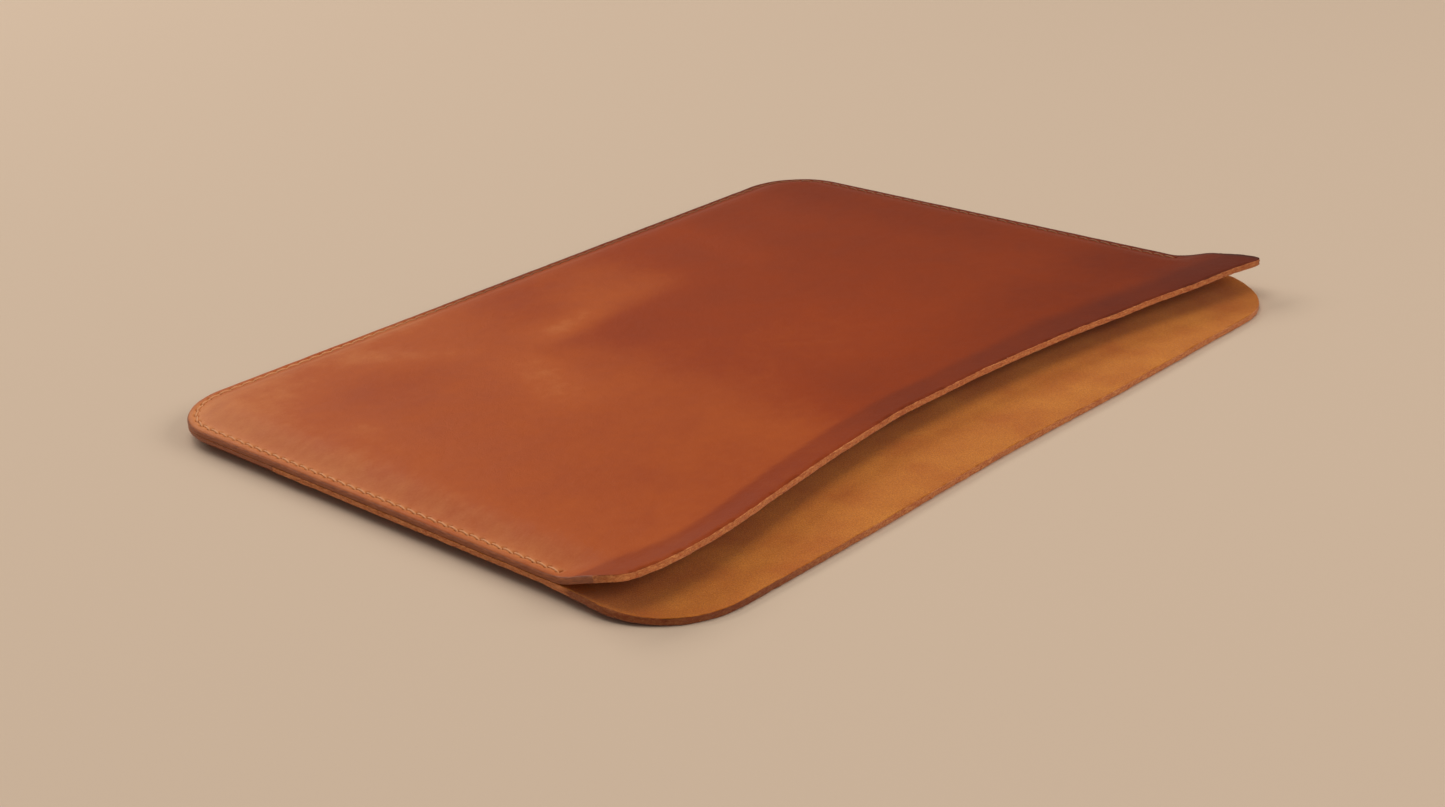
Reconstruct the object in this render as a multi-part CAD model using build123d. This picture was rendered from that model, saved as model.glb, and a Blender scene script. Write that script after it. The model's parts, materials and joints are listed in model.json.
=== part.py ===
from build123d import *
import os

# A leather sleeve for a slim 13-inch computer, lying flat. Two leather panels are sewn together
# round three sides, and the mouth is the fourth, a long side. X runs along the mouth, Y from the
# mouth to the closed edge and Z up. The origin is under the middle of the outline, on the surface
# that the sleeve lies on. Lengths are in millimetres.

# Outline
WIDTH = 300.0
DEPTH = 226.0
CLOSED_CORNER_R = 24.0
FRONT_CORNER_R = 27.0

# Leather and pocket
LEATHER = 2.0
POCKET_HEIGHT = 6.0
FLANGE = 4.5  # flat margin that is glued and sewn
SHOULDER = 5.0  # run over which the leather bends round the edge of the pocket
PLATE_OVERLAP = 2.5  # flat strip of the section that joins the plate

# Seam
SEAM_GAP = 0.2  # between the two flanges
ADHESIVE = 0.16
ADHESIVE_MARGIN = 0.4  # from the rim
STITCH_INSET = 3.0  # from the rim to the stitch line
STITCH_PITCH = 4.5
SEAM_START = 43.0  # from the front edge to the first hole
HOLE_R = 0.75
GROOVE_WIDTH = 1.6
GROOVE_DEPTH = 0.45
THREAD_R = 0.3
THREAD_CLEARANCE = 0.05  # under the thread in its groove
STRAND_OFFSET = 0.35  # of each strand from the stitch line in a hole, which slants the stitches
THREAD_BEND_R = 0.42

# Mouth lip: the free part of the top panel
LIP_BACK = 41.0  # from the front edge to the line that the lip bends about
LIP_GAP = 0.4
# Mouth edge: distance along the mouth from the middle, and distance from the front edge
MOUTH_NEAR_END = (-150.0, 20.0)
MOUTH_DIP = (-130.0, 17.0)
MOUTH_CREST = (-5.0, 32.0)
MOUTH_FAR_END = (150.0, 10.0)
DIP_HANDLE = 30.0  # how far the edge keeps the direction of the mouth beyond the dip
CREST_HANDLE = 60.0  # and before the crest
NEAR_LIP_CORNER_R = 7.0
FAR_LIP_CORNER_R = 4.0
# Curl of the lip: distances from the front edge, and heights above the seam flange
LIP_STATIONS = (37.0, 33.0, 28.0, 23.0, 17.0, 8.0)  # where its sections are taken
CURL_RUN = 26.0  # from the lip's back to where the rims are highest
NEAR_CURL = 6.1
FAR_CURL = 5.0
CURL_SPREAD_START = 33.0  # where the curl starts to reach further in from the rims
CURL_SPREAD_RUN = 25.0
NEAR_CURL_SPREAD = 56.5
FAR_CURL_SPREAD = 32.5

# Tongue of the bottom panel, whose rims come down to the surface at the front
TONGUE_SECTIONS = 7
TONGUE_TIP_LIFT = 0.02

# Heights that follow from the dimensions above
SEAM_Z = LEATHER + POCKET_HEIGHT / 2
FLANGE_Z = SEAM_Z - SEAM_GAP / 2 - LEATHER  # underside of the bottom panel's flange
TOP_Z = 2 * LEATHER + POCKET_HEIGHT
SECTION_REACH = FLANGE + SHOULDER + PLATE_OVERLAP
HALF_WIDTH = WIDTH / 2
FRONT_Y = -DEPTH / 2
BACK_Y = DEPTH / 2


def sewn_outline(inset, front):
    """Plan of the sewn area, inset from the three sewn sides and cut square at the front."""
    radius = CLOSED_CORNER_R - inset
    width = WIDTH - 2 * inset
    length = BACK_Y - inset - front
    face = Pos(0, front + length / 2) * Rectangle(width, length)
    corners = face.vertices().sort_by(Axis.Y)[-2:]
    return fillet(corners, radius)


def seam_path(inset, front):
    """The U that runs round the sewn sides, from the -X seam end to the +X one."""
    radius = CLOSED_CORNER_R - inset
    x = HALF_WIDTH - inset
    y = BACK_Y - inset
    path = FilletPolyline((-x, front), (-x, y), (x, y), (x, front), radius=radius)
    return Wire(path.edges())


def wall_section():
    """Section of a panel's rim: flange, shoulder and the start of the plate, from the rim in."""
    foot = FLANGE + SHOULDER
    middle = FLANGE + SHOULDER / 2
    lines = []
    for lift in (0, LEATHER):
        high = FLANGE_Z + lift
        lines.append(Line((0, high), (FLANGE, high)))
        lines.append(Bezier((FLANGE, high), (middle, high), (middle, lift), (foot, lift)))
        lines.append(Line((foot, lift), (SECTION_REACH, lift)))
    lines.append(Line((0, FLANGE_Z), (0, FLANGE_Z + LEATHER)))
    lines.append(Line((SECTION_REACH, 0), (SECTION_REACH, LEATHER)))
    return make_face(Curve() + lines)


def sewn_tray():
    """The sewn part of the bottom panel: a flat plate with a raised flange on three sides."""
    front = FRONT_Y + LIP_BACK
    start = Plane(origin=(-HALF_WIDTH, front, 0), x_dir=(1, 0, 0), z_dir=(0, -1, 0))
    rim = sweep(start * wall_section(), path=seam_path(0, front))
    plate = extrude(sewn_outline(SECTION_REACH, front), LEATHER)
    return rim + plate


def cross_section(y, left_z, right_z, plate_z, left_reach, right_reach):
    """Full-width section of a panel at y, with rims at their own heights beside a flat plate."""
    lines = []
    for lift in (0, LEATHER):
        left, right, flat = left_z + lift, right_z + lift, plate_z + lift
        x0, x1 = -HALF_WIDTH, -HALF_WIDTH + FLANGE
        x2 = -HALF_WIDTH + left_reach
        x3 = HALF_WIDTH - right_reach
        x4, x5 = HALF_WIDTH - FLANGE, HALF_WIDTH
        left_mid, right_mid = (x1 + x2) / 2, (x3 + x4) / 2
        lines.append(Line((x0, left), (x1, left)))
        lines.append(Bezier((x1, left), (left_mid, left), (left_mid, flat), (x2, flat)))
        lines.append(Line((x2, flat), (x3, flat)))
        lines.append(Bezier((x3, flat), (right_mid, flat), (right_mid, right), (x4, right)))
        lines.append(Line((x4, right), (x5, right)))
    lines.append(Line((-HALF_WIDTH, left_z), (-HALF_WIDTH, left_z + LEATHER)))
    lines.append(Line((HALF_WIDTH, right_z), (HALF_WIDTH, right_z + LEATHER)))
    plane = Plane(origin=(0, y, 0), x_dir=(1, 0, 0), z_dir=(0, -1, 0))
    return plane * make_face(Curve() + lines)


def tongue():
    """The free front of the bottom panel, whose rims come down to the surface it lies on."""
    reach = FLANGE + SHOULDER
    sections = []
    for i in range(TONGUE_SECTIONS):
        t = 1 - i / (TONGUE_SECTIONS - 1)
        z = TONGUE_TIP_LIFT + (FLANGE_Z - TONGUE_TIP_LIFT) * t * t * (3 - 2 * t)
        sections.append(cross_section(FRONT_Y + t * LIP_BACK, z, z, 0, reach, reach))
    return loft(sections)


def front_trim():
    """Prism that rounds the front corners of the bottom panel."""
    face = Rectangle(WIDTH, DEPTH)
    corners = face.vertices().sort_by(Axis.Y)[:2]
    return extrude(fillet(corners, FRONT_CORNER_R), TOP_Z)


def stitch_places():
    """Plan position and outward side of every hole, at an even pitch round the seam."""
    path = seam_path(STITCH_INSET, FRONT_Y + SEAM_START)
    count = round(path.length / STITCH_PITCH)
    places = []
    for i in range(count + 1):
        point = path @ (i / count)
        tangent = path % (i / count)
        places.append((point, Vector(-tangent.Y, tangent.X)))
    return places


def stitch_holes(places):
    """All the holes, as one group of cylinders through both panels."""
    hole = Cylinder(HOLE_R, 2 * TOP_Z)
    return Compound([Pos(point.X, point.Y, SEAM_Z) * hole for point, _ in places])


def stitch_groove(bottom):
    """Channel that the stitches lie in, from the given height up."""
    front = FRONT_Y + SEAM_START - GROOVE_WIDTH / 2
    outer = sewn_outline(STITCH_INSET - GROOVE_WIDTH / 2, front)
    inner = sewn_outline(STITCH_INSET + GROOVE_WIDTH / 2, front)
    return Pos(0, 0, bottom) * extrude(outer - inner, GROOVE_DEPTH)


def bottom_panel(holes):
    panel = (sewn_tray() + tongue()) & front_trim()
    return panel - stitch_groove(FLANGE_Z) - holes


def top_panel(holes):
    """The sewn part of the top panel, which mirrors the bottom one about the seam."""
    panel = mirror(sewn_tray(), about=Plane(origin=(0, 0, SEAM_Z)))
    groove = stitch_groove(2 * SEAM_Z - FLANGE_Z - GROOVE_DEPTH)
    return panel - groove - holes


def swell(t):
    """0 at 0, 1 from 1 on, and steepest at the start."""
    return 1 - (1 - min(max(t, 0), 1)) ** 2


def lip_section(y):
    """Section of the lip across the sleeve: its rims rise, and the curl spreads, to the front."""
    rise = swell((LIP_BACK - LIP_GAP - y) / CURL_RUN)
    spread = swell((CURL_SPREAD_START - y) / CURL_SPREAD_RUN)
    rim = SEAM_Z + SEAM_GAP / 2
    near, far = rim + NEAR_CURL * rise, rim + FAR_CURL * rise
    near_reach = FLANGE + SHOULDER + NEAR_CURL_SPREAD * spread
    far_reach = FLANGE + SHOULDER + FAR_CURL_SPREAD * spread
    return cross_section(FRONT_Y + y, near, far, TOP_Z - LEATHER, near_reach, far_reach)


def mouth_curve():
    """The lip's cut edge: a short dip beside the -X corner, then one long scoop."""
    ends = (MOUTH_NEAR_END, MOUTH_DIP, MOUTH_CREST, MOUTH_FAR_END)
    near, dip, crest, far = ((x, FRONT_Y + y) for x, y in ends)
    before_dip = ((near[0] + dip[0]) / 2, dip[1])
    after_dip = (dip[0] + DIP_HANDLE, dip[1])
    before_crest = (crest[0] - CREST_HANDLE, crest[1])
    after_crest = ((crest[0] + far[0]) / 2, crest[1])
    stretches = [
        Bezier(near, before_dip, dip),
        Bezier(dip, after_dip, before_crest, crest),
        Bezier(crest, after_crest, far),
    ]
    return Wire([stretch.edge() for stretch in stretches])


def mouth_lip():
    """The free part of the top panel, with curled corners and a scooped edge."""
    sections = [lip_section(y) for y in (LIP_BACK - LIP_GAP, *LIP_STATIONS)]
    back = FRONT_Y + LIP_BACK
    edge = mouth_curve()
    start, end = edge @ 0, edge @ 1
    sides = Polyline((end.X, end.Y), (end.X, back), (start.X, back), (start.X, start.Y))
    plan = make_face([*edge.edges(), *sides.edges()])
    near_corner = plan.vertices().sort_by(Axis.X)[:2].sort_by(Axis.Y)[0]
    plan = fillet(near_corner, NEAR_LIP_CORNER_R)
    far_corner = plan.vertices().sort_by(Axis.Y)[0]
    plan = fillet(far_corner, FAR_LIP_CORNER_R)
    return loft(sections) & extrude(plan, 2 * TOP_Z)


def strand(places, first_on_top):
    """Corner points of one strand, which runs over one gap between holes and under the next."""
    surface = GROOVE_DEPTH - THREAD_CLEARANCE - THREAD_R
    high = 2 * SEAM_Z - FLANGE_Z - surface
    low = FLANGE_Z + surface
    points = []
    for i in range(len(places) - 1):
        on_top = (i % 2 == 0) == first_on_top
        z = high if on_top else low
        side = STRAND_OFFSET if on_top else -STRAND_OFFSET
        (start, start_out), (end, end_out) = places[i], places[i + 1]
        a = start + start_out * side
        b = end - end_out * side
        points.append((a.X, a.Y, z))
        points.append((b.X, b.Y, z))
    return points


def saddle_stitch_thread(places):
    """One thread: its two halves leave the first hole above and below and cross in every other."""
    points = strand(places, False)[::-1] + strand(places, True)
    path = FilletPolyline(*points, radius=THREAD_BEND_R)
    start = Plane(origin=path @ 0, z_dir=path % 0)
    return sweep(start * Circle(THREAD_R), path=Wire(path.edges()))


def seam_adhesive(holes):
    """Film of contact cement between the two flanges."""
    front = FRONT_Y + LIP_BACK + ADHESIVE_MARGIN
    outer = sewn_outline(ADHESIVE_MARGIN, front)
    inner = sewn_outline(FLANGE - ADHESIVE_MARGIN, front)
    film = extrude(outer - inner, ADHESIVE)
    return Pos(0, 0, SEAM_Z - ADHESIVE / 2) * film - holes


def main():
    places = stitch_places()
    holes = stitch_holes(places)
    nodes = {
        "bottom_panel": bottom_panel(holes),
        "top_panel": top_panel(holes),
        "mouth_lip": mouth_lip(),
        "saddle_stitch_thread": saddle_stitch_thread(places),
        "seam_adhesive": seam_adhesive(holes),
    }
    os.makedirs("parts", exist_ok=True)
    for name, shape in nodes.items():
        export_step(shape, f"parts/{name}.step")


main()
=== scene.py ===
import json
import math

import bpy
import numpy as np
from mathutils import Matrix, Vector
from mathutils.geometry import delaunay_2d_cdt
from mathutils.kdtree import KDTree


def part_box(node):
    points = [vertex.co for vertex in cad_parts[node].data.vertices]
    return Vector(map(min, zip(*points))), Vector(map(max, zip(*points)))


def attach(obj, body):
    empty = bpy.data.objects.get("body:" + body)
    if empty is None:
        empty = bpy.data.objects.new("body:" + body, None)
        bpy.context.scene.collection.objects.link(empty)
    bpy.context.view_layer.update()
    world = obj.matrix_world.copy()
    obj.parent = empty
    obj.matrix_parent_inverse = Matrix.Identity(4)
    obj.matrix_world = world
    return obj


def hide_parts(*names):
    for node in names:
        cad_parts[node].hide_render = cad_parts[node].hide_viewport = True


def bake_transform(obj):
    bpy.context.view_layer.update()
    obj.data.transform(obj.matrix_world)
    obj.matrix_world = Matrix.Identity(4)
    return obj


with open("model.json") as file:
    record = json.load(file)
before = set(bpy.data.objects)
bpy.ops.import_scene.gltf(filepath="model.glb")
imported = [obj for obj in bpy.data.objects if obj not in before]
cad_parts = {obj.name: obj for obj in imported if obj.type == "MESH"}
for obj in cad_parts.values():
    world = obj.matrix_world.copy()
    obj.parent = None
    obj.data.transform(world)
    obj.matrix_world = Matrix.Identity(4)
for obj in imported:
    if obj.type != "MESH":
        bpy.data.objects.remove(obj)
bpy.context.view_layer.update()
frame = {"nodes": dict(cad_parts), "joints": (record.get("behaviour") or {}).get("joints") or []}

# Shapes are worked out in millimetres and turned into metres when a mesh is made.
MM = 0.001

# Places and sizes that come from the frame
panel_low, panel_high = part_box("bottom_panel")
sewn_low, sewn_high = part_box("top_panel")
thread_low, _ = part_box("saddle_stitch_thread")
hinge = frame["joints"][0]
HALF_WIDTH = panel_high.x / MM
FRONT = panel_low.y / MM
BACK = panel_high.y / MM
HINGE_Y = hinge["pos_m"][1] / MM
TOP_FLANGE = sewn_low.z / MM  # underside of the top panel's flange
BOTTOM_FLANGE = panel_high.z / MM  # upper side of the bottom panel's flange
PLATE_TOP = sewn_high.z / MM

# Leather
LEATHER = 2.0
CLOSED_R = 24.0
FRONT_R = 27.0
FLANGE = 4.5
SHOULDER = 11.0  # width of the soft rise from the sewn rim to the middle
SHOULDER_START = 3.9
PLATE_UNDER = PLATE_TOP - LEATHER
RISE = PLATE_UNDER - TOP_FLANGE
CROWN = 0.35  # how much the middle of the top panel stands up

# Seam
STITCH_INSET = 3.0
STITCH_PITCH = 4.5
THREAD_R = 0.29
STRAND_OFFSET = 0.34
SEAM_START = thread_low.y / MM + 0.35  # the first hole
SIDE_RUN = BACK - CLOSED_R - SEAM_START
CORNER_RUN = (CLOSED_R - STITCH_INSET) * math.pi / 2
BACK_RUN = 2 * (HALF_WIDTH - CLOSED_R)
SEAM_LENGTH = 2 * (SIDE_RUN + CORNER_RUN) + BACK_RUN
HOLES = round(SEAM_LENGTH / STITCH_PITCH) + 1
PITCH = SEAM_LENGTH / (HOLES - 1)
GROOVE_DEPTH = 0.24
SLIT_DEPTH = 1.3
SLIT_TILT = math.radians(38)

# The mouth edge of the top panel, by distance from the middle and from the front edge
MOUTH_NEAR_END = (-150.0, 20.0)
MOUTH_DIP = (-130.0, 17.0)
MOUTH_CREST = (-5.0, 32.0)
MOUTH_FAR_END = (150.0, 10.0)
DIP_HANDLE = 30.0  # how far the edge keeps the direction of the mouth beyond the dip
CREST_HANDLE = 60.0  # and before the crest
LONG_WAVE = 0.22  # unevenness of a hand-cut edge
SHORT_WAVE = 0.03
NEAR_CORNER = 6.5
FAR_CORNER = 4.0
OUTLINE_STEP = 0.4

# The crease, where the free lip starts to turn up, by its distance behind the mouth edge
CREASE_BAND = 11.0
NEAR_CREASE = 8.0  # extra distance at the near side, which fades out over its run
NEAR_CREASE_RUN = 50.0
FAR_CREASE = 22.0  # and at the far side

LIP_BAND = 15.0  # the painted shade band of the lip is never wider than this

# Curl of the lip
NEAR_CURL = 3.1
NEAR_CURL_REACH = 105.0
FAR_CURL = 2.2
FAR_CURL_REACH = 75.0


def ease(t):
    """0 below 0, 1 above 1 and smooth between."""
    t = np.clip(t, 0, 1)
    return t * t * (3 - 2 * t)


def bezier(points, steps=60):
    """Points along a Bezier curve of any degree."""
    t = np.linspace(0, 1, steps)[:, None]
    degree = len(points) - 1
    total = 0
    for i, point in enumerate(points):
        total = total + math.comb(degree, i) * t**i * (1 - t) ** (degree - i) * np.array(point)
    return total


def mouth_curve():
    """The mouth edge before its unevenness: a short dip beside the near corner, then one scoop."""
    near, dip, crest, far = MOUTH_NEAR_END, MOUTH_DIP, MOUTH_CREST, MOUTH_FAR_END
    before_dip = ((near[0] + dip[0]) / 2, dip[1])
    after_dip = (dip[0] + DIP_HANDLE, dip[1])
    before_crest = (crest[0] - CREST_HANDLE, crest[1])
    after_crest = ((crest[0] + far[0]) / 2, crest[1])
    return np.vstack([
        bezier([near, before_dip, dip]),
        bezier([dip, after_dip, before_crest, crest]),
        bezier([crest, after_crest, far]),
    ])


MOUTH_CURVE = mouth_curve()


def wave(x, y, seed, size):
    """A smooth, repeatable unevenness of about -1 to 1, with features of the given size."""
    rng = np.random.default_rng(seed)
    total = np.zeros(np.broadcast(x, y).shape)
    for _ in range(7):
        angle = rng.uniform(0, 2 * math.pi)
        k = 2 * math.pi / (size * rng.uniform(0.8, 2.2))
        along = x * math.cos(angle) + y * math.sin(angle)
        total = total + np.sin(k * along + rng.uniform(0, 6.3))
    return total / 3.5


# ---------------------------------------------------------------- plan of the panels


def rim_distance(x, y, front_r=None):
    """How far a point of the plan is in from the sewn sides, and from the front's round corners."""
    side = HALF_WIDTH - np.abs(x)
    back = BACK - y
    corner = CLOSED_R - np.hypot(CLOSED_R - side, CLOSED_R - back)
    d = np.where((side < CLOSED_R) & (back < CLOSED_R), corner, np.minimum(side, back))
    if front_r:
        front = y - FRONT
        corner = front_r - np.hypot(front_r - side, front_r - front)
        d = np.where((side < front_r) & (front < front_r), corner, d)
    return d


def mouth_edge(x):
    """Y of the mouth edge of the top panel, with the slight unevenness of a hand-cut edge."""
    y = FRONT + np.interp(x, *MOUTH_CURVE.T)
    level = np.zeros_like(x)
    return y + LONG_WAVE * wave(x, level, 3, 30) + SHORT_WAVE * wave(x, level, 4, 9)


def crease_line(x):
    """Y of the crease behind the mouth edge."""
    near = NEAR_CREASE * np.clip(1 - (x + HALF_WIDTH) / NEAR_CREASE_RUN, 0, 1) ** 2
    far = FAR_CREASE * np.clip(x / HALF_WIDTH, 0, 1) ** 2
    return FRONT + np.interp(x, *MOUTH_CURVE.T) + CREASE_BAND + near + far


def even(points, step):
    """The closed outline through the points, at an even spacing."""
    p = np.array(points, float)
    p = np.vstack([p, p[:1]])
    run = np.concatenate([[0], np.cumsum(np.hypot(*np.diff(p, axis=0).T))])
    s = np.arange(0, run[-1] - step / 2, step)
    return np.c_[np.interp(s, run, p[:, 0]), np.interp(s, run, p[:, 1])]


def arc(cx, cy, r, a0, a1, n=40):
    """Points along an arc, from one angle in degrees to another."""
    a = np.radians(np.linspace(a0, a1, n))
    return list(zip(cx + r * np.cos(a), cy + r * np.sin(a)))


def rounded(before, corner, after, n=12):
    """A corner rounded from one point beside it to the other."""
    t = np.linspace(0, 1, n)[:, None]
    a, b, c = (np.array(p, float) for p in (before, corner, after))
    return [tuple(p) for p in (1 - t) ** 2 * a + 2 * t * (1 - t) * b + t * t * c]


def back_corners():
    """The far and near corners of the closed side, anticlockwise."""
    x, y = HALF_WIDTH - CLOSED_R, BACK - CLOSED_R
    return arc(x, y, CLOSED_R, 0, 90) + arc(-x, y, CLOSED_R, 90, 180)


def top_outline():
    """The top panel: the mouth edge with its two rounded corners, and the closed side."""
    near_run, far_run = NEAR_CORNER, FAR_CORNER
    x = np.linspace(-HALF_WIDTH + near_run, HALF_WIDTH - far_run, 500)
    mouth = list(zip(x, mouth_edge(x)))
    ends = np.array([-HALF_WIDTH, HALF_WIDTH])
    near_y, far_y = mouth_edge(ends)
    near = rounded((-HALF_WIDTH, near_y + near_run), (-HALF_WIDTH, near_y), mouth[0])
    far = rounded(mouth[-1], (HALF_WIDTH, far_y), (HALF_WIDTH, far_y + far_run))
    return even(near + mouth + far + back_corners(), OUTLINE_STEP)


def bottom_outline():
    """The bottom panel: a nearly straight front between round corners, and the closed side."""
    x0, y0 = HALF_WIDTH - FRONT_R, FRONT + FRONT_R
    x = np.linspace(-x0, x0, 300)
    bow = 1.3 * np.exp(-(((x + 11) / 42) ** 2))
    bow = bow + 0.12 * wave(x, 0 * x, 9, 22) * ease((x0 - np.abs(x)) / 20)
    front = list(zip(x, FRONT + np.maximum(bow, 0)))
    near = arc(-x0, y0, FRONT_R, 180, 270)
    far = arc(x0, y0, FRONT_R, 270, 360)
    return even(near + front + far + back_corners(), OUTLINE_STEP)


def outward(outline):
    """Outward normals of an anticlockwise outline."""
    t = np.roll(outline, -1, axis=0) - np.roll(outline, 1, axis=0)
    n = np.c_[t[:, 1], -t[:, 0]]
    return n / np.linalg.norm(n, axis=1)[:, None]


# ---------------------------------------------------------------- the seam


def seam_point(s, inset):
    """Plan place and outward normal at distance s along the stitch line, moved to the inset."""
    s = np.asarray(s, float)
    mirrored = s > SEAM_LENGTH / 2
    a = np.where(mirrored, SEAM_LENGTH - s, s)
    angle = np.clip((a - SIDE_RUN) / (CLOSED_R - STITCH_INSET), 0, math.pi / 2)
    nx, ny = -np.cos(angle), np.sin(angle)
    r = CLOSED_R - inset
    x = -HALF_WIDTH + CLOSED_R + r * nx + np.maximum(a - SIDE_RUN - CORNER_RUN, 0)
    y = np.where(a < SIDE_RUN, SEAM_START + a, BACK - CLOSED_R) + r * ny
    flip = np.where(mirrored, -1.0, 1.0)
    return np.stack([x * flip, y], -1), np.stack([nx * flip, ny], -1)


def seam_coords(x, y):
    """Distance along the stitch line, and inset from the rim."""
    inset = rim_distance(x, y)
    side = HALF_WIDTH - np.abs(x)
    back = BACK - y
    angle = np.arctan2(CLOSED_R - back, CLOSED_R - side)
    along = np.where(
        (side < CLOSED_R) & (back < CLOSED_R),
        SIDE_RUN + (CLOSED_R - STITCH_INSET) * angle,
        np.where(side < back, y - SEAM_START, SIDE_RUN + CORNER_RUN + side - CLOSED_R),
    )
    return np.where(x < 0, along, SEAM_LENGTH - along), inset


def stitch_relief(x, y):
    """How deep the leather is pressed in along the stitch line, and at each slit."""
    s, inset = seam_coords(x, y)
    across = STITCH_INSET - inset
    inside = ease((s + 1.6) / 1.2) * ease((SEAM_LENGTH + 1.6 - s) / 1.2)
    groove = GROOVE_DEPTH * np.exp(-((np.abs(across) / 0.85) ** 3))
    local = s - np.clip(np.round(s / PITCH), 0, HOLES - 1) * PITCH
    a = local * math.cos(SLIT_TILT) + across * math.sin(SLIT_TILT)
    b = across * math.cos(SLIT_TILT) - local * math.sin(SLIT_TILT)
    slit = SLIT_DEPTH * np.exp(-(((a / 1.0) ** 2 + (b / 0.46) ** 2) ** 2))
    pinch = 0.12 * np.exp(-((local / 0.9) ** 2) - (across / 1.5) ** 2)
    return inside * (groove + slit + pinch)


# ---------------------------------------------------------------- heights of the leather


def lip_curl(x, y):
    """How far the free lip stands up, from nothing at its crease to most at the mouth edge."""
    x = np.clip(x, -HALF_WIDTH, HALF_WIDTH)
    near, far = x + HALF_WIDTH, HALF_WIDTH - x
    crease = crease_line(x)
    near_lift = NEAR_CURL * np.clip(1 - near / NEAR_CURL_REACH, 0, 1) ** 1.6
    far_lift = FAR_CURL * np.clip(1 - far / FAR_CURL_REACH, 0, 1) ** 1.5
    lift = near_lift + far_lift + 0.25 + 0.14 * wave(x, 0 * x, 5, 34)
    t = (crease - y) / (crease - mouth_edge(x))
    hollow = 1.3 + 0.8 * np.clip(1 - near / NEAR_CURL_REACH, 0, 1)
    return lift * ease(1.05 * t) ** hollow


def top_inner(x, y):
    """Underside of the top panel."""
    d = rim_distance(x, y)
    shoulder = ease((d - SHOULDER_START) / SHOULDER)
    far = ease((x + HALF_WIDTH) / (2 * HALF_WIDTH))
    free = ease((HINGE_Y + 1.5 + 3.0 * far - y) / (13.5 + 4.0 * far))
    shoulder = shoulder + (1 - shoulder) * free
    crown = CROWN * ease((d - FLANGE) / 60) * ease((y - HINGE_Y + 15) / 60)
    sag = 0.09 * wave(x, y, 11, 60) * ease(d / 30)
    return TOP_FLANGE + RISE * shoulder + crown + sag + lip_curl(x, y)


LIP_BACK = HINGE_Y - FRONT  # the free front of the bottom panel reaches back to here


def bottom_inner(x, y):
    """Upper side of the bottom panel."""
    d = rim_distance(x, y, FRONT_R)
    lift = (BOTTOM_FLANGE - LEATHER) * ease((y - FRONT) / LIP_BACK)
    sewn = 1 - ease((d - SHOULDER_START) / SHOULDER)
    dished = np.clip(1 - d / 13, 0, 1) ** 1.8
    free = ease((SEAM_START - 1 - y) / 10)
    return LEATHER + lift * (sewn + (dished - sewn) * free)


def normals(height, x, y, h=0.05):
    """Upward normals of a height field."""
    dx = (height(x + h, y) - height(x - h, y)) / (2 * h)
    dy = (height(x, y + h) - height(x, y - h)) / (2 * h)
    n = np.stack([-dx, -dy, np.ones_like(dx)], -1)
    return n / np.linalg.norm(n, axis=-1)[:, None]


# ---------------------------------------------------------------- meshes


def rings(outline, depths, steps):
    """Points on lines inside the outline, at each depth, with their own spacing."""
    tree = KDTree(len(outline))
    for i, p in enumerate(outline):
        tree.insert((p[0], p[1], 0), i)
    tree.balance()
    n = outward(outline)
    kept = []
    for depth, step in zip(depths, steps):
        ring = even(outline - n * depth, step)
        kept += [p for p in ring if tree.find((p[0], p[1], 0))[2] > depth * 0.97]
    return np.array(kept), tree


def slit_points():
    """A fine patch of points at each hole, in line with its slit."""
    a, b = np.meshgrid(np.arange(-1.25, 1.26, 0.21), np.arange(-0.66, 0.67, 0.165))
    a, b = a.ravel(), b.ravel()
    local = a * math.cos(SLIT_TILT) - b * math.sin(SLIT_TILT)
    across = a * math.sin(SLIT_TILT) + b * math.cos(SLIT_TILT)
    found = []
    for i in range(HOLES):
        for along, out in zip(local, across):
            point, _ = seam_point(i * PITCH + along, STITCH_INSET - out)
            found.append(point)
    return np.array(found)


def band_points():
    """Rows of points along the groove, between the slits."""
    found = []
    for i in range(HOLES - 1):
        for share in (0.32, 0.38, 0.44, 0.5, 0.56, 0.62, 0.68):
            for inset in np.arange(1.6, 4.5, 0.35):
                point, _ = seam_point((i + share) * PITCH, inset)
                found.append(point)
    return np.array(found)


def interior(tree, step, clear, keep):
    """A grid of staggered points well inside the outline."""
    found = []
    rows = np.arange(FRONT + step, BACK, step * 0.87)
    for j, y in enumerate(rows):
        for x in np.arange(-HALF_WIDTH + step * (0.5 + 0.5 * (j % 2)), HALF_WIDTH, step):
            if keep(x, y) and tree.find((x, y, 0))[2] > clear:
                found.append((x, y))
    return np.array(found).reshape(-1, 2)


def inside(outline, points):
    """Which points lie inside the closed outline."""
    x, y = points[:, 0][:, None], points[:, 1][:, None]
    x0, y0 = outline[:, 0], outline[:, 1]
    x1, y1 = np.roll(x0, -1), np.roll(y0, -1)
    hit = np.zeros(len(points), bool)
    for at in range(0, len(points), 4000):
        part = slice(at, at + 4000)
        crosses = (y0 > y[part]) != (y1 > y[part])
        cut = x0 + (y[part] - y0) * (x1 - x0) / np.where(y1 == y0, 1, y1 - y0)
        hit[part] = (crosses & (x[part] < cut)).sum(1) % 2 == 1
    return hit


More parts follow.
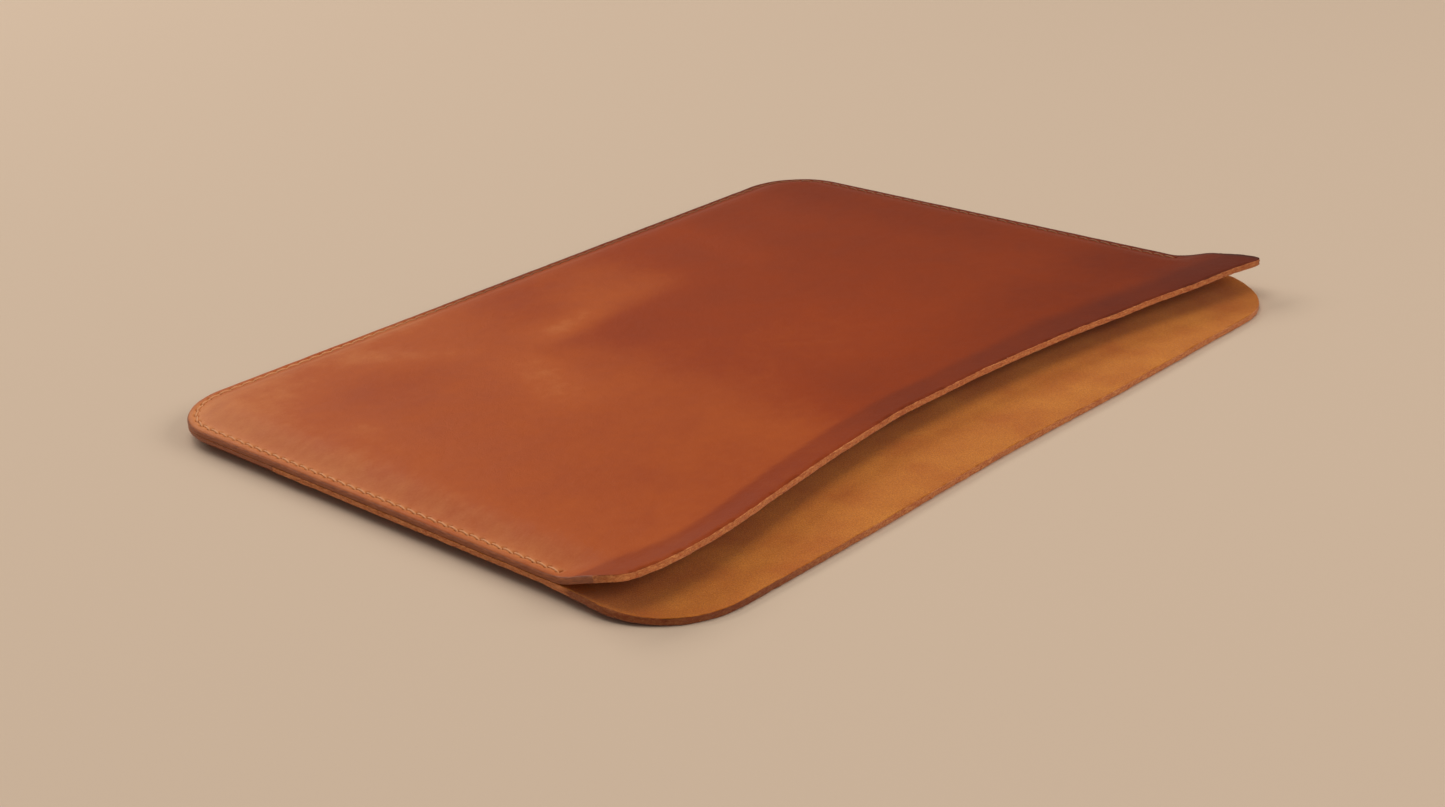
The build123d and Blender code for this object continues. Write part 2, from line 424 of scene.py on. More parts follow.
def triangulate(outline, points):
    """Triangles over the outline and the points in it. The outline keeps the first numbers."""
    points = points[inside(outline, points)]
    every = np.vstack([outline, points])
    n = len(outline)
    edges = [(i, (i + 1) % n) for i in range(n)]
    verts, _, faces, origin, _, _ = delaunay_2d_cdt(
        [Vector(p) for p in every], edges, [], 1, 1e-5
    )
    number = {}
    for new, olds in enumerate(origin):
        for old in olds:
            number.setdefault(old, new)
    order = [number[i] for i in range(n)]
    taken = set(order)
    order += [i for i in range(len(verts)) if i not in taken]
    renumber = {old: new for new, old in enumerate(order)}
    plan = np.array([verts[i][:] for i in order])
    tris = np.array([[renumber[v] for v in f] for f in faces])
    a, b, c = (plan[tris[:, i]] for i in range(3))
    area = (b[:, 0] - a[:, 0]) * (c[:, 1] - a[:, 1]) - (b[:, 1] - a[:, 1]) * (c[:, 0] - a[:, 0])
    tris[area < 0] = tris[area < 0][:, ::-1]
    return plan, tris[np.abs(area) > 1e-9]


def smooth_random(rng, n, width):
    """A row of random numbers round a loop, smoothed, with a spread of 1."""
    kernel = np.exp(-(np.arange(-3 * width, 3 * width + 1) ** 2) / (2 * (width / 2) ** 2 + 0.1))
    raw = rng.normal(size=n)
    out = np.real(np.fft.ifft(np.fft.fft(raw) * np.fft.fft(kernel / np.linalg.norm(kernel), n)))
    return out


def make_mesh(name, verts_mm, faces, kinds, attributes, materials):
    """A smooth mesh object from points in millimetres, with float and vector attributes."""
    mesh = bpy.data.meshes.new(name)
    mesh.from_pydata((np.asarray(verts_mm) * MM).tolist(), [], [list(f) for f in faces])
    for m in materials:
        mesh.materials.append(m)
    mesh.polygons.foreach_set("material_index", np.asarray(kinds, np.int32))
    mesh.polygons.foreach_set("use_smooth", np.ones(len(mesh.polygons), bool))
    for key, values in attributes.items():
        values = np.asarray(values, np.float32)
        kind = "FLOAT_VECTOR" if values.ndim == 2 else "FLOAT"
        layer = mesh.attributes.new(key, kind, "POINT")
        layer.data.foreach_set("vector" if values.ndim == 2 else "value", values.ravel())
    mesh.update()
    obj = bpy.data.objects.new(name, mesh)
    bpy.context.scene.collection.objects.link(obj)
    return obj


GRAIN, FLESH, RAW, BURNISHED = range(4)
EDGE_ROWS = np.array([0.0, 0.07, 0.2, 0.4, 0.6, 0.8, 0.93, 1.0])

# Rows of mesh points inside the outline: how far in each is, and the spacing along it
GRAIN_DEPTHS = (0.55, 0.95, 1.35, 4.6, 5.2, 5.9, 6.7, 7.6, 8.6, 9.8, 11.4, 13.4, 16.0)
GRAIN_STEPS = (0.5, 0.6, 0.7, 0.8, 0.9, 1.0, 1.0, 1.1, 1.3, 1.5, 1.9, 2.2, 2.6)
FLESH_DEPTHS = (0.6, 1.6, 3.2, 4.6, 5.6, 6.8, 8.2, 10.0, 13.0)
FLESH_STEPS = (0.8, 1.2, 1.5, 1.5, 1.5, 1.6, 1.8, 2.2, 2.8)

RIM_ROUNDING = 0.42  # how much the burnished rims are rubbed down


def leather_panel(name, outline, inner, side, raw, tone_and_light, burnish_and_shade, materials, seed):
    """A panel of leather with true thickness: grain side, flesh side and cut edge.

    inner is the height of the flesh side, side is 1 where the grain side is above it and -1 where
    it is below, and raw says where the cut edge is left rough."""
    rng = np.random.default_rng(seed)
    ring, tree = rings(outline, GRAIN_DEPTHS, GRAIN_STEPS)
    groove = np.vstack([slit_points(), band_points()])
    along = np.arange(0, SEAM_LENGTH, 0.6)
    seam_rows = np.array([seam_point(s, d)[0] for d in (1.75, 4.25) for s in along])
    fine = interior(tree, 1.6, 2.2, lambda x, y: y < HINGE_Y + 12 and HALF_WIDTH - abs(x) > 5)
    coarse = interior(tree, 3.0, 17.5, lambda x, y: y >= HINGE_Y + 12)
    front_ring = ring[(ring[:, 1] > HINGE_Y + 10) | (rim_distance(ring[:, 0], ring[:, 1]) < 5.5)]
    free_rows, _ = rings(outline, [1.9, 2.6, 3.5], [0.7, 0.9, 1.2])
    free_rows = free_rows[free_rows[:, 1] < SEAM_START - 2.5]
    points = np.vstack([front_ring, groove, seam_rows, free_rows, fine, coarse])
    plan, tris = triangulate(outline, points)
    back_ring, _ = rings(outline, FLESH_DEPTHS, FLESH_STEPS)
    inner_fine = interior(tree, 2.2, 3.0, lambda x, y: y < HINGE_Y + 12)
    inner_coarse = interior(tree, 3.6, 15.0, lambda x, y: y >= HINGE_Y + 12)
    inner_plan, inner_tris = triangulate(outline, np.vstack([back_ring, inner_fine, inner_coarse]))

    n = len(outline)
    out2 = outward(outline)
    is_raw = raw(outline[:, 0], outline[:, 1])

    def place(p, thickness):
        normal = normals(inner, p[:, 0], p[:, 1])
        base = np.c_[p, inner(p[:, 0], p[:, 1])]
        return base + side * normal * np.asarray(thickness)[:, None]

    x, y = plan[:, 0], plan[:, 1]
    d = rim_distance(x, y, FRONT_R if side < 0 else None)
    on_sewn = ease((y - HINGE_Y) / 6)
    rubbed = RIM_ROUNDING * on_sewn * np.exp(-np.maximum(d, 0) / 0.7)
    thickness = LEATHER - stitch_relief(x, y) - rubbed
    thickness = thickness + 0.035 * wave(x, y, seed, 9)
    outer = place(plan, thickness)
    under = place(inner_plan, np.zeros(len(inner_plan)))

    # The rim: rows from the grain side to the flesh side, round where it is burnished
    inset_round = RIM_ROUNDING * np.clip(1 - EDGE_ROWS / 0.5, 0, 1) ** 2.2
    inset_round = inset_round + 0.08 * EDGE_ROWS**8
    inset_raw = 0.07 * (np.abs(2 * EDGE_ROWS - 1)) ** 8
    top_row, bottom_row = outer[:n].copy(), under[:n].copy()
    rows = []
    for k, share in enumerate(EDGE_ROWS):
        rough = 0.095 * smooth_random(rng, n, 5) + 0.045 * smooth_random(rng, n, 2)
        rough *= 1.0 if 0 < k < len(EDGE_ROWS) - 1 else 0.5
        shift = np.where(is_raw, rough - inset_raw[k], 0.012 * rough - inset_round[k])
        p = top_row + (bottom_row - top_row) * share
        p[:, :2] += out2 * shift[:, None]
        p[:, 2] += np.where(is_raw, 0.03 * smooth_random(rng, n, 2), 0)
        rows.append(p)
    outer[:n], under[:n] = rows[0], rows[-1]
    verts = np.vstack([outer, under] + rows[1:-1])
    surfaces = len(outer) + len(under)
    starts = [0] + [surfaces + i * n for i in range(len(rows) - 2)] + [len(outer)]
    faces, kinds = [], []
    flip = slice(None, None, side)
    for tri in tris:
        faces.append(tri[flip])
    kinds += [GRAIN] * len(tris)
    for tri in inner_tris:
        faces.append((tri + len(outer))[slice(None, None, -side)])
    kinds += [FLESH] * len(inner_tris)
    edge_kind = np.where(is_raw, RAW, BURNISHED)
    for a, b in zip(starts, starts[1:]):
        for i in range(n):
            j = (i + 1) % n
            faces.append([a + i, b + i, b + j, a + j][flip])
            kinds.append(edge_kind[i])

    flat = np.vstack([plan, inner_plan] + [outline] * (len(rows) - 2))
    depths = [np.zeros(len(plan)), np.full(len(inner_plan), LEATHER)]
    depths += [np.full(n, share * LEATHER) for share in EDGE_ROWS[1:-1]]
    depth = np.concatenate(depths)
    attributes = {
        "rest": np.c_[flat, depth],
        # The tone holds painted light and shade besides the leather's own tone, and the darkening holds
        # painted shade besides the burnish
        "tone_and_light": tone_and_light(flat[:, 0], flat[:, 1]),
        "burnish_and_shade": burnish_and_shade(flat[:, 0], flat[:, 1]),
    }
    return make_mesh(name, verts, faces, kinds, attributes, materials)


def tubes(name, paths, radii, sides, material, lobes=0, twist=0.0):
    """Round tubes along lists of points in millimetres; lobes and twist make it a laid thread."""
    verts, faces, along = [], [], []
    for path, radius in zip(paths, radii):
        p = np.asarray(path, float)
        r = np.broadcast_to(radius, len(p))
        t = np.gradient(p, axis=0)
        t /= np.linalg.norm(t, axis=1)[:, None]
        u = np.cross(t[0], (0.31, 0.52, 0.79))
        frames = []
        for tangent in t:
            u = u - tangent * (u @ tangent)
            u /= np.linalg.norm(u)
            frames.append((u.copy(), np.cross(tangent, u)))
        run = np.concatenate([[0], np.cumsum(np.linalg.norm(np.diff(p, axis=0), axis=1))])
        start = len(verts)
        for i in range(len(p)):
            for k in range(sides):
                a = 2 * math.pi * k / sides
                bulge = 1 + (0.13 * math.cos(lobes * a - twist * run[i]) if lobes else 0)
                out = math.cos(a) * frames[i][0] + math.sin(a) * frames[i][1]
                verts.append(p[i] + r[i] * bulge * out)
                along.append((run[i], a, 0))
        for i in range(len(p) - 1):
            for k in range(sides):
                a, b = start + i * sides + k, start + i * sides + (k + 1) % sides
                faces.append([a, b, b + sides, a + sides])
        faces.append(list(range(start, start + sides))[::-1])
        faces.append(list(range(start + (len(p) - 1) * sides, start + len(p) * sides)))
    place = np.array(verts)
    # Painted shade: the thread and fibres are darker on the back and far sides
    attributes = {"rest": along, "burnish_and_shade": 0.8 * back_and_far(place[:, 0], place[:, 1])}
    return make_mesh(name, verts, faces, [0] * len(faces), attributes, [material])


# ---------------------------------------------------------------- materials


def srgb(r, g, b):
    """Linear colour from 0-255 display values."""
    c = np.array([r, g, b]) / 255
    c = np.where(c <= 0.04045, c / 12.92, ((c + 0.055) / 1.055) ** 2.4)
    return (*c, 1.0)


class Shader:
    """Short ways to add nodes to a material."""

    def __init__(self, name):
        self.material = bpy.data.materials.new(name)
        self.material.use_nodes = True
        self.tree = self.material.node_tree
        self.tree.nodes.clear()
        self.out = self.tree.nodes.new("ShaderNodeOutputMaterial")
        self.bsdf = self.tree.nodes.new("ShaderNodeBsdfPrincipled")
        self.tree.links.new(self.bsdf.outputs[0], self.out.inputs[0])

    def put(self, socket, value):
        if isinstance(value, bpy.types.NodeSocket):
            self.tree.links.new(value, socket)
        else:
            socket.default_value = value

    def node(self, kind, out=0, **inputs):
        """Adds a node. Inputs are named, or numbered as i0, i1; properties are set with p_."""
        n = self.tree.nodes.new(kind)
        for key, value in inputs.items():
            if key.startswith("p_"):
                setattr(n, key[2:], value)
        for key, value in inputs.items():
            if key.startswith("p_"):
                continue
            name = int(key[1:]) if key[0] == "i" and key[1:].isdigit() else key.replace("_", " ")
            self.put(n.inputs[name], value)
        return n.outputs[out]

    def attribute(self, name, vector=False):
        return self.node("ShaderNodeAttribute", 1 if vector else 2, p_attribute_name=name)

    def noise(self, vector, scale, detail=2.0, rough=0.5, distortion=0.0):
        return self.node(
            "ShaderNodeTexNoise",
            Vector=vector,
            Scale=scale,
            Detail=detail,
            Roughness=rough,
            Distortion=distortion,
        )

    def voronoi(self, vector, scale, feature="F1"):
        return self.node("ShaderNodeTexVoronoi", Vector=vector, Scale=scale, p_feature=feature)

    def scaled(self, vector, x, y, z):
        return self.node("ShaderNodeMapping", Vector=vector, Scale=(x, y, z))

    def math(self, operation, a, b=0.5, clamp=False):
        return self.node("ShaderNodeMath", i0=a, i1=b, p_operation=operation, p_use_clamp=clamp)

    def span(self, value, low, high, to_low=0.0, to_high=1.0):
        return self.node("ShaderNodeMapRange", i0=value, i1=low, i2=high, i3=to_low, i4=to_high)

    def mix(self, share, a, b, blend="MIX"):
        n = self.tree.nodes.new("ShaderNodeMix")
        n.data_type, n.blend_type = "RGBA", blend
        for index, value in ((0, share), (6, a), (7, b)):
            self.put(n.inputs[index], value)
        return n.outputs[2]

    def bump(self, height, distance, strength=1.0, normal=None):
        n = self.tree.nodes.new("ShaderNodeBump")
        self.put(n.inputs["Height"], height)
        n.inputs["Distance"].default_value = distance
        n.inputs["Strength"].default_value = strength
        if normal is not None:
            self.put(n.inputs["Normal"], normal)
        return n.outputs[0]

    def finish(self, **inputs):
        for key, value in inputs.items():
            self.put(self.bsdf.inputs[key.replace("_", " ")], value)
        return self.material


def grain_leather():
    """Waxed pull-up leather: mottled, lighter where it has been bent, with painted light and shade from
    the panel's tone, dark burnished rims with painted shade, and fine pores.
    """
    s = Shader("pull_up_leather")
    v = s.attribute("rest", vector=True)
    tone, burnish_and_shade = s.attribute("tone_and_light"), s.attribute("burnish_and_shade")
    clouds = s.noise(v, 0.011, 3, 0.5, 0.3)
    mottle = s.noise(v, 0.05, 4, 0.6)
    blotch = s.noise(v, 0.22, 3, 0.55)
    speckle = s.noise(v, 1.5, 3, 0.65)
    tone = s.math("ADD", tone, s.span(clouds, 0.3, 0.7, -0.06, 0.06))
    tone = s.math("ADD", tone, s.span(mottle, 0.3, 0.7, -0.07, 0.07))
    tone = s.math("ADD", tone, s.span(blotch, 0.3, 0.7, -0.05, 0.05))
    tone = s.math("ADD", tone, s.span(speckle, 0.3, 0.7, -0.05, 0.05))
    # The tone holds pull-up lightening, painted light and painted shade
    colour = s.mix(s.span(tone, 0, -1), srgb(149, 57, 11), srgb(108, 37, 10))
    colour = s.mix(s.span(tone, 0, 0.5), colour, srgb(173, 80, 26))
    colour = s.mix(s.span(tone, 0.5, 1), colour, srgb(206, 129, 74))
    # Dark burnish on the rims, with painted shade on the back and far rims and on the lip
    colour = s.mix(s.math("MULTIPLY", burnish_and_shade, 0.9, clamp=True), colour, srgb(64, 38, 30))
    pores = s.voronoi(s.mix(0.02, v, s.noise(v, 0.8)), 2.1)
    pits = s.noise(v, 3.3, 4, 0.62)
    normal = s.bump(pores, 0.00006, 0.5)
    normal = s.bump(pits, 0.00008, 0.65, normal)
    normal = s.bump(s.noise(v, 0.35, 3, 0.5, 0.6), 0.00035, 0.3, normal)
    rough = s.math("ADD", s.span(mottle, 0.3, 0.7, 0.50, 0.60), s.span(speckle, 0.3, 0.7, 0, 0.06))
    return s.finish(Base_Color=colour, Roughness=rough, Normal=normal, Specular_IOR_Level=0.12)


def flesh_leather():
    """The suede-like inner side."""
    s = Shader("suede_side")
    v = s.attribute("rest", vector=True)
    nap = s.noise(v, 2.4, 5, 0.7)
    clouds = s.noise(v, 0.05, 4, 0.6)
    colour = s.mix(s.span(clouds, 0.3, 0.7), srgb(192, 104, 28), srgb(216, 134, 44))
    colour = s.mix(s.span(nap, 0.35, 0.65, 0, 0.55), colour, srgb(132, 58, 16))
    normal = s.bump(nap, 0.00025, 0.9)
    return s.finish(
        Base_Color=colour, Roughness=0.95, Normal=normal, Specular_IOR_Level=0.12, Sheen_Weight=0.1
    )


def raw_edge():
    """The rough cut edge, with the fibres that run along it."""
    s = Shader("raw_cut_edge")
    v = s.attribute("rest", vector=True)
    fibre = s.noise(s.scaled(v, 1.0, 1.0, 2.4), 1.0, 5, 0.75, 0.6)
    clumps = s.noise(v, 0.4, 3, 0.6)
    colour = s.mix(s.span(fibre, 0.35, 0.66), srgb(186, 90, 42), srgb(248, 168, 100))
    colour = s.mix(s.span(clumps, 0.45, 0.75, 0, 0.45), colour, srgb(176, 80, 36))
    # Darker for the tongue's dark cut edge, and for painted shade on the lip, the near corner of the
    # tongue and the back and far rims
    burnish_and_shade_share = s.math("MULTIPLY", s.attribute("burnish_and_shade"), 1.2, clamp=True)
    colour = s.mix(burnish_and_shade_share, colour, srgb(92, 32, 14))
    normal = s.bump(fibre, 0.0003, 0.9)
    return s.finish(
        Base_Color=colour, Roughness=0.9, Normal=normal, Specular_IOR_Level=0.15, Sheen_Weight=0.15
    )


def burnished_edge():
    """The smooth edge of the sewn sides, with the dark line of each layer."""
    s = Shader("burnished_edge")
    v = s.attribute("rest", vector=True)
    streaks = s.noise(s.scaled(v, 0.25, 0.25, 2.6), 1.5, 4, 0.6)
    colour = s.mix(s.span(streaks, 0.35, 0.7), srgb(132, 66, 34), srgb(184, 104, 58))
    # Dark burnish, with painted shade making the back and far rims darker still
    burnish_and_shade_share = s.math("MULTIPLY", s.attribute("burnish_and_shade"), 0.9, clamp=True)
    colour = s.mix(burnish_and_shade_share, colour, srgb(52, 32, 24))
    normal = s.bump(streaks, 0.00012, 0.6)
    return s.finish(Base_Color=colour, Roughness=0.45, Normal=normal, Specular_IOR_Level=0.35)


def waxed_thread():
    """Waxed thread, with painted shade making it darker along the back and far sides."""
    s = Shader("waxed_thread")
    v = s.attribute("rest", vector=True)
    fibre = s.noise(v, 3.0, 3, 0.6)
    colour = s.mix(s.span(fibre, 0.3, 0.7), srgb(196, 124, 76), srgb(226, 162, 108))
    colour = s.mix(s.attribute("burnish_and_shade"), colour, srgb(118, 62, 34))
    normal = s.bump(fibre, 0.00005, 0.6)
    return s.finish(Base_Color=colour, Roughness=0.6, Normal=normal, Specular_IOR_Level=0.3)


def cement():
    """Dried contact cement."""
    s = Shader("contact_cement")
    v = s.node("ShaderNodeTexCoord", 3)
    blots = s.noise(v, 900.0, 3, 0.6)
    colour = s.mix(blots, srgb(86, 46, 24), srgb(120, 70, 36))
    return s.finish(Base_Color=colour, Roughness=0.7)


def pale_floor():
    """A plain pale surface."""
    s = Shader("pale_floor")
    v = s.node("ShaderNodeTexCoord", 3)
    tint = s.noise(v, 2.0, 2, 0.5)
    colour = s.mix(tint, srgb(205, 181, 157), srgb(207, 183, 159))
    return s.finish(Base_Color=colour, Roughness=0.9, Specular_IOR_Level=0.05)


# ---------------------------------------------------------------- camera, light and floor


CAMERA_PLACE = (-0.4843, -0.4663, 0.2715)
CAMERA_ANGLES = (45.41, 22.98, -3.65)  # yaw from the mouth's direction, pitch down and roll


def camera():
    """At the photograph's height and angle: 45 degrees to the left of the mouth, 23 above."""
    yaw, pitch, roll = (math.radians(a) for a in CAMERA_ANGLES)
    level = math.cos(pitch)
    ahead = Vector((level * math.sin(yaw), level * math.cos(yaw), -math.sin(pitch)))
    right = ahead.cross(Vector((0, 0, 1))).normalized()
    up = right.cross(ahead)
    c, s = math.cos(roll), math.sin(roll)
    right, up = right * c + up * s, up * c - right * s
    data = bpy.data.cameras.new("camera")
    data.sensor_width = 36.0
    data.lens = 55.2
    data.clip_start, data.clip_end = 0.01, 60.0
    cam = bpy.data.objects.new("camera", data)
    rotation = Matrix((right, up, -ahead)).transposed().to_4x4()
    cam.matrix_world = Matrix.Translation(CAMERA_PLACE) @ rotation
    bpy.context.scene.collection.objects.link(cam)
    bpy.context.scene.camera = cam


def softbox(name, place, aim, size, power, colour):
    """A rectangular area light that faces the aim."""
    data = bpy.data.lights.new(name, "AREA")
    data.shape = "RECTANGLE"
    data.size, data.size_y = size
    data.energy = power
    data.color = colour
    lamp = bpy.data.objects.new(name, data)
    lamp.location = place
    lamp.rotation_mode = "QUATERNION"
    lamp.rotation_quaternion = (Vector(aim) - Vector(place)).to_track_quat("-Z", "Y")
    bpy.context.scene.collection.objects.link(lamp)


FLOOR_HALF = 12.0
FLOOR_Z = -0.00006  # a little below the underside, so that the two surfaces don't coincide


def studio():
    """Soft light, the look of the picture and the floor."""
    scene = bpy.context.scene
    world = bpy.data.worlds.new("studio")
    world.use_nodes = True
    background = world.node_tree.nodes["Background"]
    background.inputs["Color"].default_value = (1.0, 0.985, 0.965, 1.0)
    background.inputs["Strength"].default_value = 0.27
    scene.world = world
    scene.view_settings.view_transform = "Standard"
    softbox("overhead", (-0.1, 0.45, 2.2), (0, 0, 0), (1.5, 1.5), 17.5, (1.0, 0.99, 0.98))
    softbox("back", (0.1, 2.1, 1.45), (0, 0, 0), (2.2, 0.9), 27.5, (1.0, 0.99, 0.97))
    softbox("front", (0.7, -1.9, 1.2), (0, 0, 0), (1.6, 1.0), 23.0, (1.0, 0.99, 0.97))
    mesh = bpy.data.meshes.new("floor")
    corners = [(x * FLOOR_HALF, y * FLOOR_HALF, FLOOR_Z) for x, y in ((-1, -1), (1, -1), (1, 1), (-1, 1))]
    mesh.from_pydata(corners, [], [(0, 1, 2, 3)])
    mesh.materials.append(pale_floor())
    floor = bpy.data.objects.new("floor", mesh)
    scene.collection.objects.link(floor)


# ---------------------------------------------------------------- the pieces


def stroke(x, y, ax, ay, bx, by, width):
    """A soft mark along a line in the plan."""
    run = math.hypot(bx - ax, by - ay)
    t = np.clip(((x - ax) * (bx - ax) + (y - ay) * (by - ay)) / run**2, 0, 1)
    away = np.hypot(x - ax - t * (bx - ax), y - ay - t * (by - ay))
    return np.exp(-((away / width) ** 2))


def lip_band(x, y):
    """1 on the band in front of the crease that gets painted shade, which is softer towards the far side.
    """
    x = np.clip(x, -HALF_WIDTH, HALF_WIDTH)
    soft = 2.2 + 7.0 * ease((x + 40) / 150)
    line = np.minimum(crease_line(x), mouth_edge(x) + LIP_BAND)
    return ease((line - y + 0.3 * soft) / soft)


def top_tone_and_painted_light(x, y):
    """Tone of the top panel, above 0 lighter and below 0 darker: pull-up lightening where the wax has
    moved, painted light on the left and on the near shoulder, painted sheen along the back, painted shade
    on the right and on the lip band, and darker towards the front.
    """
    d = rim_distance(x, y)
    # Painted light: lighter towards the left, where more light falls, and more at the left corner, which
    # is also pale from bending
    tone = 0.32 * ease((-14 - x) / 42) + 0.12 * ease((-95 - x) / 35)
    # Painted shade: darker towards the right, and more at the far end
    tone -= 0.30 * ease((x - 5) / 95) + 0.24 * ease((x - 98) / 30)
    tone -= 0.26 * ease((-30 - y) / 34) * ease((x + 45) / 40)
    # Partly pull-up from bending, partly painted light: the near shoulder, which faces the light, is
    # lighter
    tone += 0.22 * np.exp(-(((x + 146) / 11) ** 2)) * ease((y + 96) / 40)
    # Painted sheen: lighter towards the back left
    tone += 0.16 * ease((y - 55) / 40) * ease((70 - x) / 120)
    # Painted sheen: a lighter band along the back, just inside the seam
    tone += 0.16 * np.exp(-(((BACK - y - 9) / 6) ** 2)) * ease((d - 3) / 3)
    # The pale streak, with its clear lower side, and the patches round it
    streak = stroke(x, y, -36, 55, 16, 60, 12) * ease((y - 42 - 0.05 * x) / 8)
    tone += 0.30 * streak + 0.20 * stroke(x, y, -29, 54, -17, 56, 8)
    tone += 0.24 * stroke(x, y, -5, 72, 12, 82, 15)
    tone += 0.16 * stroke(x, y, -68, 8, -58, 42, 12) * ease((-46 - x) / 8)
    tone += 0.15 * stroke(x, y, -88, 92, -64, 64, 7)
    tone += 0.15 * stroke(x, y, 58, 48, 64, 92, 9)
    tone += 0.10 * stroke(x, y, -124, 43, -123, 41, 5)
    tone -= 0.12 * stroke(x, y, -104, 66, -88, 62, 13) + 0.08 * stroke(x, y, -22, 32, 20, 36, 13)
    # Painted shade on the lip band in front of the crease
    tone -= 0.30 * lip_band(x, y)
    # Threads and slits have rubbed the leather pale along the seam
    tone += 0.28 * np.exp(-(((d - STITCH_INSET) / 1.1) ** 2)) * ease((y - SEAM_START + 3) / 3)
    return np.clip(tone, -1, 1)


def back_and_far(x, y):
    """0 on the near side, 1 on the back and far sides: how much painted shade the rims, thread and fibres
    get there.
    """
    return ease((x + 0.9 * y - 10) / 90)


def top_burnish_and_shade(x, y):
    """Dark burnished rim, darker on the back and far sides with painted shade, and painted shade on the
    lip in front of its crease and on the far lip.
    """
    x = np.clip(x, -HALF_WIDTH, HALF_WIDTH)
    d = rim_distance(x, y)
    # Burnished rim, with painted shade added on the back and far sides
    rim = np.exp(-((np.maximum(d, 0) / 1.9) ** 2)) * (0.12 + 0.78 * back_and_far(x, y))
    ahead = crease_line(x) - y
    # Painted shade on the lip band, and on the far lip where it turns up
    lip = 0.14 * lip_band(x, y) + 0.14 * ease((x - 95) / 50) * ease((ahead + 2) / 16)
    return np.clip(rim + lip, 0, 1)


def bottom_wear(x, y):
    """Tone of the bottom panel, a little lighter beside its rims."""
    d = rim_distance(x, y, FRONT_R)
    return 0.3 * np.exp(-(((d - 7) / 5) ** 2))


def bottom_burnish_and_shade(x, y):
    """Dark burnished rim, darker on the back and far sides with painted shade, and the darker cut edge of
    the tongue, with painted shade near the near corner.
    """
    d = rim_distance(x, y, FRONT_R)
    # Burnished rim, with painted shade added on the back and far sides
    rim = np.exp(-((np.maximum(d, 0) / 1.7) ** 2)) * (0.1 + 0.7 * back_and_far(x, y))
    # The tongue's cut edge is darker, and painted shade makes it darkest near the near corner
    tongue = 0.2 + 0.45 * np.exp(-(((x + 128) / 45) ** 2))
    tongue = tongue * ease((SEAM_START - 2 - y) / 6) * ((d < 0.8) | (y < FRONT + 2.5))
    return np.clip(np.maximum(rim, tongue), 0, 1)


def top_raw(x, y):
    """Where the top panel's edge is left rough: along the mouth."""
    near_corner = FRONT + MOUTH_NEAR_END[1] + 6.7
    return (y < near_corner) | ((x > -HALF_WIDTH + 2) & (y < HINGE_Y - 2) & (np.abs(x) < HALF_WIDTH - 0.4))


def bottom_raw(x, y):
    """Where the bottom panel's edge is left rough."""
    return y < BACK - 60


def stitch_path():
    """Points of the one thread.

    Its halves leave the first hole above and below, and cross in every other hole."""
    top = PLATE_TOP - RISE - 0.2
    low = BOTTOM_FLANGE - LEATHER + 0.2
    corner = 0.75
    dive = [(0.0, 1.6), (0.0, corner), (0.3 * corner, 0.3 * corner), (corner, 0.06)]

    def strand(first_on_top):
        points = []
        for i in range(HOLES - 1):
            on_top = (i % 2 == 0) == first_on_top
            z, inward = (top, -1) if on_top else (low, 1)
            off = STRAND_OFFSET if on_top else -STRAND_OFFSET
            a, na = seam_point(i * PITCH, STITCH_INSET)
            b, nb = seam_point((i + 1) * PITCH, STITCH_INSET)
            a, b = a + na * off, b - nb * off
            way = (b - a) / np.linalg.norm(b - a)
            rise = 0.08 * -inward
            for across, down in dive:
                points.append((*(a + way * across), z + inward * down))
            for share in (0.4, 0.6):
                points.append((*(a + (b - a) * share), z + rise))
            for across, down in dive[::-1]:
                points.append((*(b - way * across), z + inward * down))
        return points

    return strand(False)[::-1] + strand(True)


FIBRES = 420


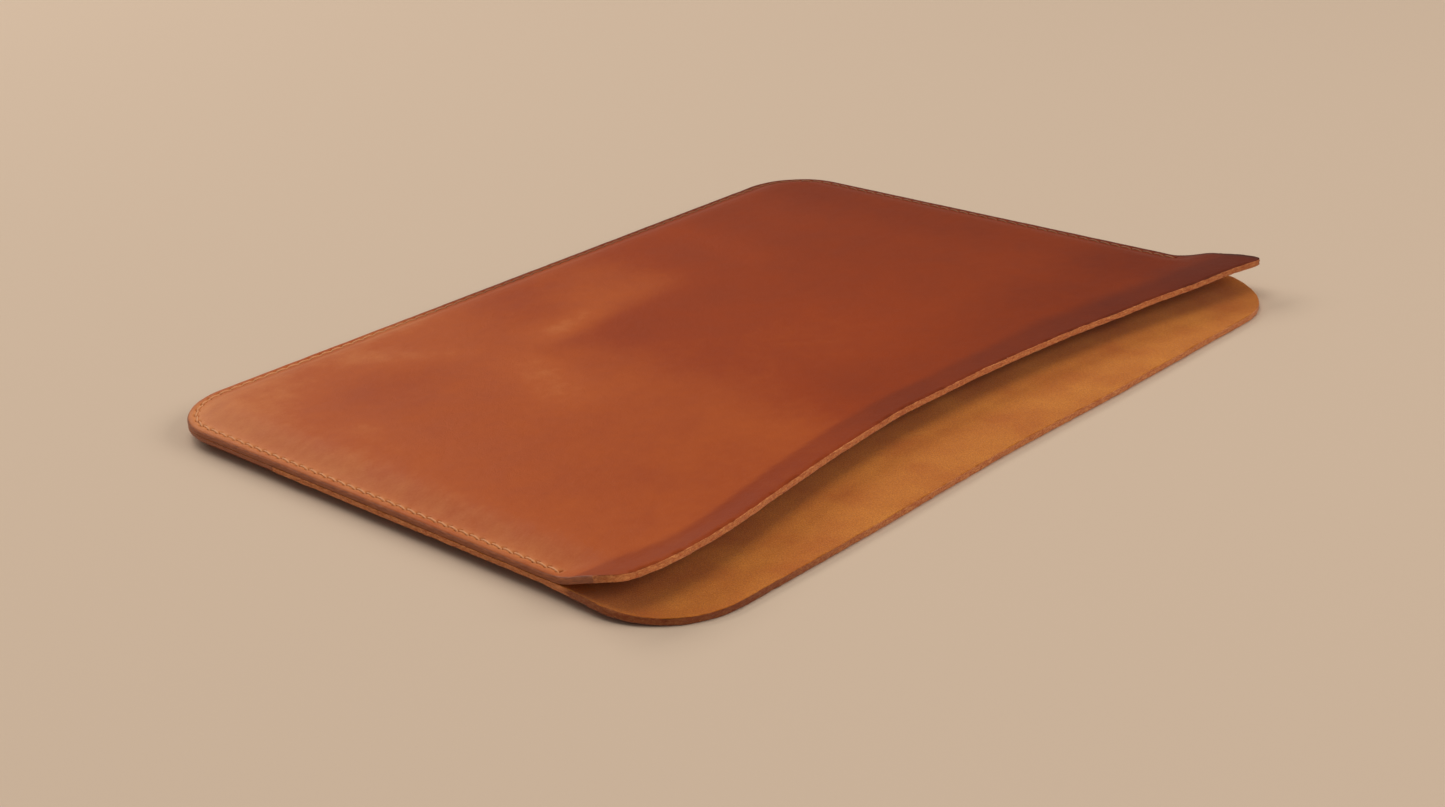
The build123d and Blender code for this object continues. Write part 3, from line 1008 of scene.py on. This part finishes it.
def edge_fibres(name, outline, inner, side, raw, count, seed, material):
    """Stray fibres that stand out of the rough cut edge."""
    rng = np.random.default_rng(seed)
    n2 = outward(outline)
    rough = np.flatnonzero(raw(outline[:, 0], outline[:, 1]))
    paths, radii = [], []
    for i in rng.choice(rough, count):
        p, n = outline[i], n2[i]
        z = float(inner(p[:1], p[1:])[0]) + side * rng.uniform(0.1, LEATHER - 0.1)
        base = np.array([p[0], p[1], z]) - 0.15 * np.array([n[0], n[1], 0])
        turn = rng.normal(0, 0.9)
        c, s = math.cos(turn), math.sin(turn)
        way = np.array([n[0] * c - n[1] * s, n[0] * s + n[1] * c, rng.normal(0, 0.35)])
        bend = rng.normal(0, 0.5, 3)
        length = rng.uniform(0.2, 0.55) * (1.6 if rng.random() < 0.08 else 1)
        t = np.linspace(0, 1, 5)[:, None]
        path = base + length * (way * t + bend * t * t * 0.6)
        path[:, 2] = np.maximum(path[:, 2], 0.08)
        paths.append(path)
        radii.append(rng.uniform(0.025, 0.05) * np.linspace(1, 0.35, 5))
    return tubes(name, paths, radii, 5, material)


def build():
    """Makes every piece, hides the frame parts they replace, attaches the bottom panel, thread and base
    fibres to the sleeve's body, and bakes the top panel and its fibres in place.
    """
    grain, flesh, raw, burnished = grain_leather(), flesh_leather(), raw_edge(), burnished_edge()
    leather = [grain, flesh, raw, burnished]
    outline_top, outline_bottom = top_outline(), bottom_outline()

    looks = (top_raw, top_tone_and_painted_light, top_burnish_and_shade, leather)
    top = leather_panel("top_panel_leather", outline_top, top_inner, 1, *looks, 21)
    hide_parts("top_panel", "mouth_lip")

    looks = (bottom_raw, bottom_wear, bottom_burnish_and_shade, leather)
    bottom = leather_panel("bottom_panel_leather", outline_bottom, bottom_inner, -1, *looks, 22)
    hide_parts("bottom_panel")

    waxed = waxed_thread()
    thread = tubes("seam_thread", [stitch_path()], [THREAD_R], 12, waxed, lobes=3, twist=3.4)
    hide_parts("saddle_stitch_thread")

    lip_row = (outline_top, top_inner, 1, top_raw)
    lip_fibres = edge_fibres("mouth_edge_fibres", *lip_row, FIBRES, 31, raw)
    base_row = (outline_bottom, bottom_inner, -1, bottom_raw)
    base_fibres = edge_fibres("base_edge_fibres", *base_row, FIBRES, 32, raw)

    frame["nodes"]["seam_adhesive"].data.materials.clear()
    frame["nodes"]["seam_adhesive"].data.materials.append(cement())

    for piece in (bottom, thread, base_fibres):
        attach(piece, "sleeve")
    for piece in (top, lip_fibres):
        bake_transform(piece)


camera()
studio()
build()
